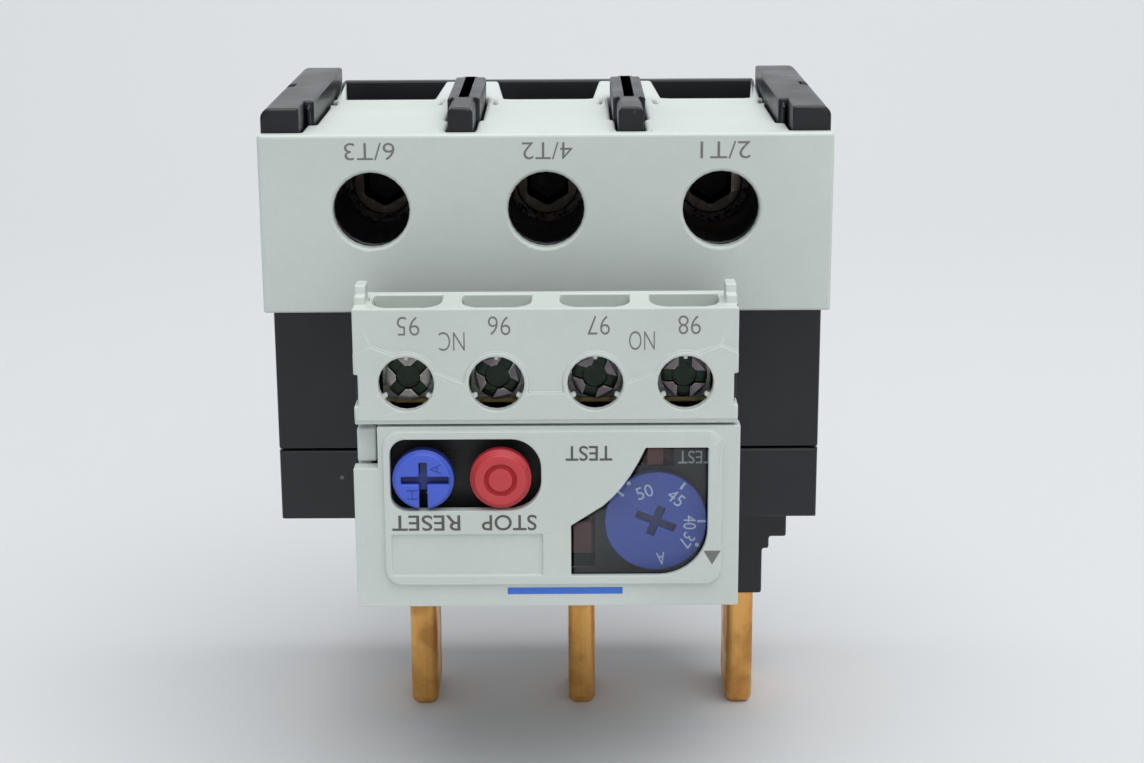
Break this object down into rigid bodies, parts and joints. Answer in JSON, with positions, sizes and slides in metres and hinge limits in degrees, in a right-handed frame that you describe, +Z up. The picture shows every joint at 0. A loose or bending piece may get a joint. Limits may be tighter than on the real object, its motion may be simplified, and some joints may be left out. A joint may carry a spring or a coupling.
{
  "type": "thermal overload relay",
  "caption": "Three-pole plug-in thermal overload relay with screw terminals, reset and stop buttons, a setting dial behind a hinged window panel, and a bimetal trip mechanism.",
  "frame": {"origin": "under the middle of the relay's box, at the level of the copper blade tips it stands on", "axes": "+Z up from the blade tips to the cable entries, -Y towards the buttons and the dial, +X to the right seen from the front"},
  "size_m": [0.07, 0.0618, 0.0861],
  "materials": {
    "light_grey": "satin moulded polyamide",
    "black": "satin moulded polyamide",
    "dark_grey": "satin moulded polyamide",
    "copper": "drawn copper bar, slightly tarnished",
    "zinc": "zinc-plated steel",
    "steel": "plain steel",
    "nylon": "natural nylon",
    "brass": "brass strip",
    "clear": "clear polycarbonate, slightly scuffed",
    "blue": "satin moulded plastic",
    "red": "satin moulded plastic",
    "dark_red": "satin moulded plastic"
  },
  "bodies": {
    "case": {"terminal_shroud": "light_grey", "main_case": "black", "lower_case": "black", "rear_cover": "black", "rear_cover_screw_1": "zinc", "rear_cover_screw_2": "zinc", "rear_cover_screw_3": "zinc", "rear_cover_screw_4": "zinc", "blade_bar_1": "copper", "blade_bar_2": "copper", "blade_bar_3": "copper", "load_bar_1": "copper", "load_bar_2": "copper", "load_bar_3": "copper", "lug_cage_1": "zinc", "lug_cage_2": "zinc", "lug_cage_3": "zinc", "lug_screw_1": "steel", "lug_screw_2": "steel", "lug_screw_3": "steel", "aux_terminal_95": "brass", "aux_terminal_96": "brass", "aux_terminal_97": "brass", "aux_terminal_98": "brass", "aux_clamp_95": "zinc", "aux_clamp_96": "zinc", "aux_clamp_97": "zinc", "aux_clamp_98": "zinc", "aux_screw_95": "zinc", "aux_screw_96": "zinc", "aux_screw_97": "zinc", "aux_screw_98": "zinc", "aux_cover": "light_grey", "module_base": "dark_grey", "module_housing": "light_grey", "lever_pin": "steel", "reset_spring": "steel", "stop_spring": "steel"},
    "front_flap": {"front_panel": "light_grey", "window": "clear"},
    "setting_dial": {"dial": "blue", "dial_cam": "nylon"},
    "reset_plunger": {"reset_stem": "nylon"},
    "reset_knob": {"reset_knob": "blue"},
    "stop_button": {"stop_button": "red"},
    "test_slider": {"test_slider": "dark_red"},
    "trip_indicator": {"trip_indicator": "dark_red"},
    "trip_bar": {"main_slider": "nylon"},
    "differential_bar": {"differential_slider": "nylon"},
    "trip_lever": {"trip_lever": "nylon"},
    "contact_set": {"contact_carrier": "nylon", "nc_bridge": "brass", "no_bridge": "brass"},
    "pole_1": {"bimetal_1": "steel", "heater_1": "steel"},
    "pole_2": {"bimetal_2": "steel", "heater_2": "steel"},
    "pole_3": {"bimetal_3": "steel", "heater_3": "steel"}
  },
  "joints": [
    {"name": "flap_hinge", "type": "hinge", "parent": "case", "child": "front_flap", "pos_m": [0.0219, -0.0285, 0.039], "axis": [0, 0, 1], "range_deg": [0, 100]},
    {"name": "dial_turn", "type": "hinge", "parent": "case", "child": "setting_dial", "pos_m": [0.013, -0.0271, 0.0385], "axis": [0, 1, 0], "range_deg": [0, 157]},
    {"name": "reset_press", "type": "slide", "parent": "case", "child": "reset_plunger", "axis": [0, 1, 0], "range_m": [0, 0.002], "stiffness_N_per_m": 300, "springref_m": -0.001, "deforming": ["reset_spring"]},
    {"name": "reset_turn", "type": "hinge", "parent": "reset_plunger", "child": "reset_knob", "pos_m": [-0.0146, -0.0291, 0.04465], "axis": [0, 1, 0], "range_deg": [0, 90]},
    {"name": "stop_press", "type": "slide", "parent": "case", "child": "stop_button", "axis": [0, 1, 0], "range_m": [0, 0.002], "stiffness_N_per_m": 300, "springref_m": -0.001, "deforming": ["stop_spring"]},
    {"name": "test_slide", "type": "slide", "parent": "case", "child": "test_slider", "axis": [-1, 0, 0], "range_m": [0, 0.0018], "stiffness_N_per_m": 150},
    {"name": "trip_slide", "type": "slide", "parent": "case", "child": "trip_bar", "axis": [1, 0, 0], "range_m": [0, 0.002], "stiffness_N_per_m": 60},
    {"name": "trip_lever_turn", "type": "hinge", "parent": "case", "child": "trip_lever", "pos_m": [0.0103, -0.0124, 0.047], "axis": [0, 0, 1], "range_deg": [-17.5, 0]},
    {"name": "carrier_slide", "type": "slide", "parent": "case", "child": "contact_set", "axis": [0, 1, 0], "range_m": [0, 0.0017]},
    {"name": "indicator_slide", "type": "slide", "parent": "case", "child": "trip_indicator", "axis": [0, 0, -1], "range_m": [0, 0.0016]},
    {"name": "differential_slide", "type": "slide", "parent": "case", "child": "differential_bar", "axis": [1, 0, 0], "range_m": [-0.0015, 0], "stiffness_N_per_m": 60},
    {"name": "bimetal_bend_1", "type": "hinge", "parent": "case", "child": "pole_1", "pos_m": [-0.02135, 0.0024, 0.062], "axis": [0, -1, 0], "range_deg": [0, 5.6]},
    {"name": "bimetal_bend_2", "type": "hinge", "parent": "case", "child": "pole_2", "pos_m": [0, 0.0024, 0.062], "axis": [0, -1, 0], "range_deg": [0, 5.6]},
    {"name": "bimetal_bend_3", "type": "hinge", "parent": "case", "child": "pole_3", "pos_m": [0.02135, 0.0024, 0.062], "axis": [0, -1, 0], "range_deg": [0, 5.6]}
  ],
  "couplings": [
    {"joint": "trip_lever_turn", "follows": "trip_slide", "rad_per_m": -148.4},
    {"joint": "carrier_slide", "follows": "trip_slide", "ratio": 0.8},
    {"joint": "indicator_slide", "follows": "trip_slide", "ratio": 0.75},
    {"joint": "bimetal_bend_1", "follows": "trip_slide", "rad_per_m": 47.1},
    {"joint": "bimetal_bend_2", "follows": "trip_slide", "rad_per_m": 47.1},
    {"joint": "bimetal_bend_3", "follows": "trip_slide", "rad_per_m": 47.1}
  ]
}
